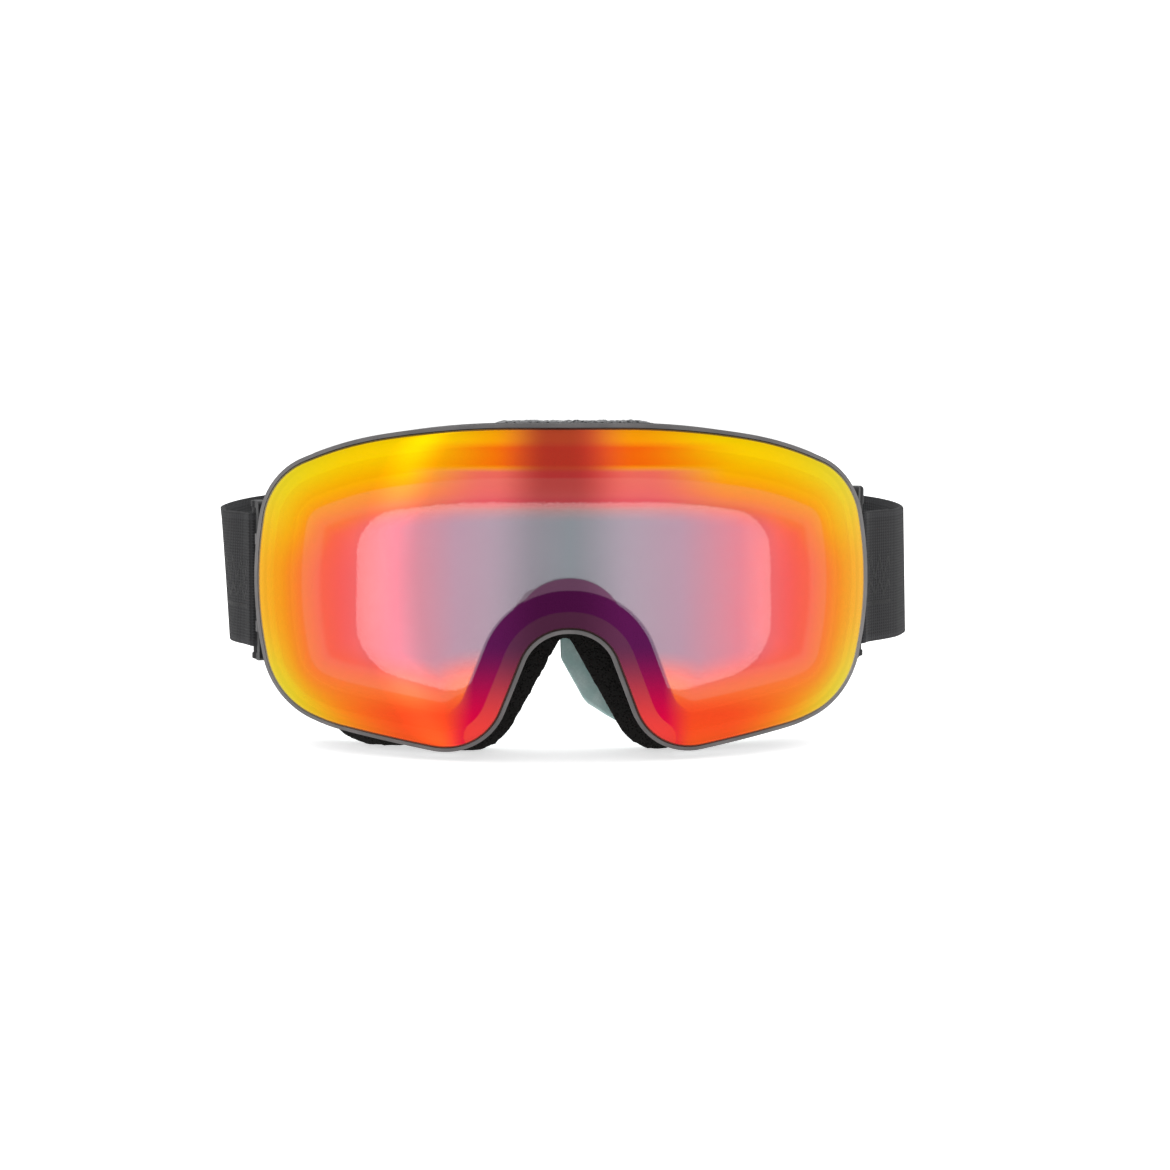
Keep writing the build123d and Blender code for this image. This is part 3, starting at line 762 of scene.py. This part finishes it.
def makeFoam(name, front, thickness, layer, rounding, material, node, fuzz, lip=0.0):
    step = layer * foamLook["step"]
    count = foamLook["around"]
    corners = lensPoints(foamLook["sideIn"] + step, foamLook["rise"] - step,
                         foamLook["drop"] - step, 0)
    nose = foamLook["noseFoot"], foamLook["noseTop"]
    corners[-2:] = [(x + 0.3 * step, z + step, r) for x, z, r in nose]
    outer = roundedOutline(corners, count)
    if lip:
        outer = [(x - lip * lipShape(x, z), z) for x, z in outer]
    inner = roundedOutline(aperturePoints, count)
    # section round the pad: front face, outer wall, back face, inner wall, corners rounded
    section = crossSection(foamLook["across"], min(rounding, thickness / 2 - 0.05), thickness)
    total = len(section)

    def place(u, v):
        k = int(round(u * count)) % count
        s = int(round(v * total)) % total
        (ox, oz), (ix, iz) = outer[k], inner[k]
        width = hypot(ox - ix, oz - iz)
        share, depth = section[s]
        t = share[0] + share[1] / width
        x, z = ix + (ox - ix) * t, iz + (oz - iz) * t
        z -= sag(x, z) * max(0.0, t)
        y = onFace(x, front + depth)
        fine = noise(Vector((x, y, z)) / foamLook["fuzzSize"]) * fuzz
        broad = noise(Vector((z, x, y)) / (foamLook["fuzzSize"] * 3)) * fuzz * 0.8
        edge = 1.0 if t > 0.97 or t < 0.03 else 0.25
        dx, dz = (ox - ix) / width, (oz - iz) / width
        out = (fine + broad) * edge * (1 if t > 0.5 else -1)
        return (x + dx * out, y + fine * 0.25, z + dz * out)

    piece = wrappedGrid(name, count, total, place)
    finishMesh(piece)
    piece.data.materials.append(material)
    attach(piece, "frame")
    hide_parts(node)
    return piece


def crossSection(across, r, thickness):
    # points round a rounded rectangle: ((share of the width, millimetres), depth)
    points = []
    for k in range(across + 1):
        t = k / across
        points.append(((t, r * (1 - 2 * t)), 0.0))
    for k in range(1, 4):
        angle = pi / 2 * k / 4
        points.append(((1.0, -r + r * sin(angle)), r - r * cos(angle)))
    walls = max(2, int((thickness - 2 * r) / 1.2) + 1)
    for k in range(walls + 1):
        points.append(((1.0, 0.0), r + (thickness - 2 * r) * k / walls))
    for k in range(1, 4):
        angle = pi / 2 * k / 4
        points.append(((1.0, -r + r * cos(angle)), thickness - r + r * sin(angle)))
    for k in range(across + 1):
        t = 1 - k / across
        points.append(((t, r * (1 - 2 * t)), thickness))
    for k in range(1, 4):
        angle = pi / 2 * k / 4
        points.append(((0.0, r - r * sin(angle)), thickness - r + r * cos(angle)))
    for k in range(walls + 1):
        points.append(((0.0, 0.0), thickness - r - (thickness - 2 * r) * k / walls))
    for k in range(1, 4):
        angle = pi / 2 * k / 4
        points.append(((0.0, r - r * cos(angle)), r - r * sin(angle)))
    return points


# name, front, thickness, layer, rounding, material, node, fuzz, lip
makeFoam("foamBase", 0.1, 4.0, 0, 0.5, blackFoam, "foam_base", 0.45)
makeFoam("foamCushion", 4.2, 8.0, 1, 2.0, blackFoam, "foam_cushion", 0.35)
makeFoam("faceLiner", 12.3, 2.7, 2, 1.3, linerFleece, "face_liner", 0.12,
         foamLook["lip"])
print("face foam made")


strapLook = {
    "width": 40.0, "thickness": 1.6, "tailThickness": 1.5, "across": 12, "selvedge": 0.5,
    "sway": 4.2, "wide": 0.8, "lean": 0.11, "leanFarShare": 0.25,
    "eyeRadius": 2.95, "barHeading": -41.8, "foldEnd": -20.0, "backMiddle": (0.0, 157.94),
    "plyOffset": 0.85, "eyeSpread": 1.9, "stations": 260,
    "tailFrom": 30.4, "tailTo": 70.0, "tailInside": 1.72, "tailUV": 150, "tailStations": 90,
}
# the loop's arcs, right half: up to which heading in degrees, centre x and y, radius
loopArcs = ((0.0, 45.5, 72.56, 60.0), (52.4, 30.5, 72.56, 75.0), (360.0, 0.0, 32.94, 125.0))


def loopPoint(heading):
    # middle line of the loop, right half, and its outward direction
    cx, cy, r = next(arc[1:] for arc in loopArcs if heading < arc[0])
    a = radians(heading)
    return cx + r * cos(a), cy + r * sin(a), cos(a), sin(a)


def strapPath(side):
    # from the sewn fold, forward round the arm's bar, then along the head to the middle of the back
    barHeading, foldEnd, eye = (strapLook[key] for key in ("barHeading", "foldEnd", "eyeRadius"))
    ply, spread = strapLook["plyOffset"], strapLook["eyeSpread"]
    beyondBar = barHeading + 3.5
    path = []
    for k in range(16):
        x, y, nx, ny = loopPoint(foldEnd + (beyondBar - foldEnd) * k / 15)
        grow = max(0.0, (k - 9) / 6)
        off = -ply - spread * grow * grow
        path.append((x + nx * off, y + ny * off))
    bx, by, nx, ny = loopPoint(barHeading)
    for k in range(13):
        ahead, aside = eye * cos(pi * k / 12), eye * sin(pi * k / 12)
        path.append((bx - nx * ahead + ny * aside, by - ny * ahead - nx * aside))
    heading = beyondBar
    while heading < 90.0:
        x, y, nx, ny = loopPoint(heading)
        near = max(0.0, 1 - (heading - barHeading) / 9.0)
        far = max(0.0, min(1.0, (heading + 20.0) / 10.0))
        off = (ply + spread * near * near) * (1 - far)
        path.append((x + nx * off, y + ny * off))
        heading += 1.0
    path.append(strapLook["backMiddle"])
    # the whole loop sways to one side where it stands furthest from the lens
    sideX, sideY = loopArcs[1][1:3]
    result = []
    for x, y in path:
        heading = degrees(atan2(y - sideY, x - sideX)) if x > 0 else 90.0
        bulge = max(0.0, cos(radians(max(-90.0, min(90.0, (heading - 4) * 1.75)))))
        forward = max(0.0, min(1.0, (y - 34.0) / 30.0))
        out = strapLook["wide"] * side + strapLook["sway"]
        result.append((side * x + out * bulge * forward, y))
    return result


def webbing(name, path, side, thickness, startUV=0.0, leanAt=lambda y: 0.0):
    # a flat band along a path, with rounded selvedges and a UV map in millimetres
    length = sum(hypot(b[0] - a[0], b[1] - a[1]) for a, b in zip(path, path[1:]))
    half, thick, flat = strapLook["width"] / 2, thickness / 2, strapLook["selvedge"]
    across = strapLook["across"]
    face = 2 * half - 2 * flat
    profile = [(half - flat - face * k / across, thick) for k in range(across + 1)]
    profile += [(-half + 0.12, thick * 0.65), (-half, 0.0), (-half + 0.12, -thick * 0.65)]
    profile += [(-half + flat + face * k / across, -thick) for k in range(across + 1)]
    profile += [(half - 0.12, -thick * 0.65), (half, 0.0), (half - 0.12, thick * 0.65)]
    total, stations = len(profile), len(path) - 1

    def place(u, v):
        i = int(round(u * stations))
        z, off = profile[int(round(v * total)) % total]
        a, b = path[max(0, i - 1)], path[min(stations, i + 1)]
        run = hypot(b[0] - a[0], b[1] - a[1])
        nx, ny = (b[1] - a[1]) / run * side, -(b[0] - a[0]) / run * side
        x, y = path[i]
        return (x + nx * off - leanAt(y) * z, y + ny * off, strapMiddle + z + liftAt(y))

    piece = wrappedGrid(name, stations, total, place)
    layer = piece.data.uv_layers[0]
    layer.name = "strapUV"
    for loop in piece.data.loops:
        co = piece.data.vertices[loop.vertex_index].co
        layer.data[loop.index].uv = (layer.data[loop.index].uv[0] * length + startUV,
                                     co.z / mm - strapMiddle - liftAt(co.y / mm))
    # close the two ends
    clearSelection()
    piece.select_set(True)
    bpy.context.view_layer.objects.active = piece
    bpy.ops.object.mode_set(mode="EDIT")
    bpy.ops.mesh.select_all(action="DESELECT")
    bpy.ops.mesh.select_mode(type="EDGE")
    bpy.ops.mesh.select_non_manifold()
    bpy.ops.mesh.edge_face_add()
    bpy.ops.mesh.select_mode(type="VERT")
    bpy.ops.object.mode_set(mode="OBJECT")
    finishMesh(piece, 60)
    piece.data.materials.append(strapElastic)
    return piece


def makeStrapHalf(side, name):
    # from the fold behind the arm to the middle of the back; it bends between the arm and the loop
    def leanAt(y):
        share = 1.0 if side < 0 else strapLook["leanFarShare"]
        return strapLook["lean"] * max(0.0, 1 - abs(y - 72.0) / 36.0) * share

    path = evenly(strapPath(side), strapLook["stations"])
    strap = webbing("strapHalf_" + name, path, side, strapLook["thickness"], leanAt=leanAt)
    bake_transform(strap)
    return strap


strapRight = makeStrapHalf(1, "right")
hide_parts("strap_end_right", "strap_band")
strapLeft = makeStrapHalf(-1, "left")
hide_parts("strap_end_left")
print("strap made")


def makeTail(side, name):
    # the free end inside the loop
    low, high, inside = strapLook["tailFrom"], strapLook["tailTo"], strapLook["tailInside"]
    path = []
    for k in range(60):
        x, y, nx, ny = loopPoint(low + (high - low) * k / 59)
        path.append((side * (x - nx * inside), y - ny * inside))
    path = evenly(path, strapLook["tailStations"])
    tail = webbing("strapTail_" + name, path, side, strapLook["tailThickness"],
                   strapLook["tailUV"])
    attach(tail, "frame")
    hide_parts("strap_tail_" + name)


makeTail(1, "right")
makeTail(-1, "left")
print("tails made")


stageLook = {
    "floorSize": 8.0, "floorGap": 0.0005, "floorGlow": 0.6,
    "roomLight": 1.15, "darkBand": 0.5, "streak": 0.5, "seenLight": 1.1,
    "target": (0.00417, -0.047, 0.00204), "turn": -2.7, "rise": 4.0, "far": 0.750,
    "lens": 84.3, "sensor": 36,
}


def makeFloor():
    clearSelection()
    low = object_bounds()[0][2]
    bpy.ops.mesh.primitive_plane_add(size=stageLook["floorSize"],
                                     location=(0, 0, low - stageLook["floorGap"]))
    floor = bpy.context.object
    floor.name = "floor"
    material, shader, start = newMaterial("floorPaper", Roughness=0.9)
    place, axes = objectPlace(start)
    grain = noiseTex(start, place, 0.4, 2.0)
    link(grain.blend(rgb(250, 250, 250), rgb(246, 246, 246)), shader, "Base Color")
    shader.inputs["Emission Color"].default_value = (1, 1, 1, 1)
    shader.inputs["Emission Strength"].default_value = stageLook["floorGlow"]
    floor.data.materials.append(material)
    floor.visible_glossy = False  # the lens mirrors an even room, not the edge of the paper
    return floor


def makeWorld():
    # an even white room with a dark band behind the viewer and a bright streak to one side
    world = bpy.data.worlds.new("studio")
    scene.world = world
    world.use_nodes = True
    tree = world.node_tree
    background = tree.nodes["Background"]
    start = Val(tree, background.outputs[0])
    coords = start.add("ShaderNodeTexCoord", out=0)
    parts = tree.nodes.new("ShaderNodeSeparateXYZ")
    tree.links.new(coords.socket, parts.inputs[0])
    x, y, z = (Val(tree, parts.outputs[k]) for k in range(3))
    turn = start.math("ARCTAN2", x, y * -1.0)  # 0 straight in front, positive to the viewer's right
    dark = 1 - abs(turn + 0.02).fade(0.08, 0.42)
    streak = 1 - abs(turn + 1.02).fade(0.0, 0.22)
    level = stageLook["roomLight"] - dark * stageLook["darkBand"] + streak * stageLook["streak"]
    cameraRay = start.add("ShaderNodeLightPath", out=0)
    seen = cameraRay * stageLook["seenLight"] + (1 - cameraRay) * level
    tree.links.new(seen.socket, background.inputs["Strength"])
    background.inputs["Color"].default_value = (1, 1, 1, 1)


def makeCamera():
    target, far = Vector(stageLook["target"]), stageLook["far"]
    turn, rise = radians(stageLook["turn"]), radians(stageLook["rise"])
    place = target + far * Vector((sin(turn) * cos(rise), -cos(turn) * cos(rise), sin(rise)))
    data = bpy.data.cameras.new("camera")
    data.lens, data.sensor_width = stageLook["lens"], stageLook["sensor"]
    data.clip_start = 0.01
    camera = bpy.data.objects.new("camera", data)
    scene.collection.objects.link(camera)
    camera.location = place
    camera.rotation_euler = (target - place).to_track_quat("-Z", "Y").to_euler()
    scene.camera = camera


makeFloor()
makeWorld()
makeCamera()
print("stage made")
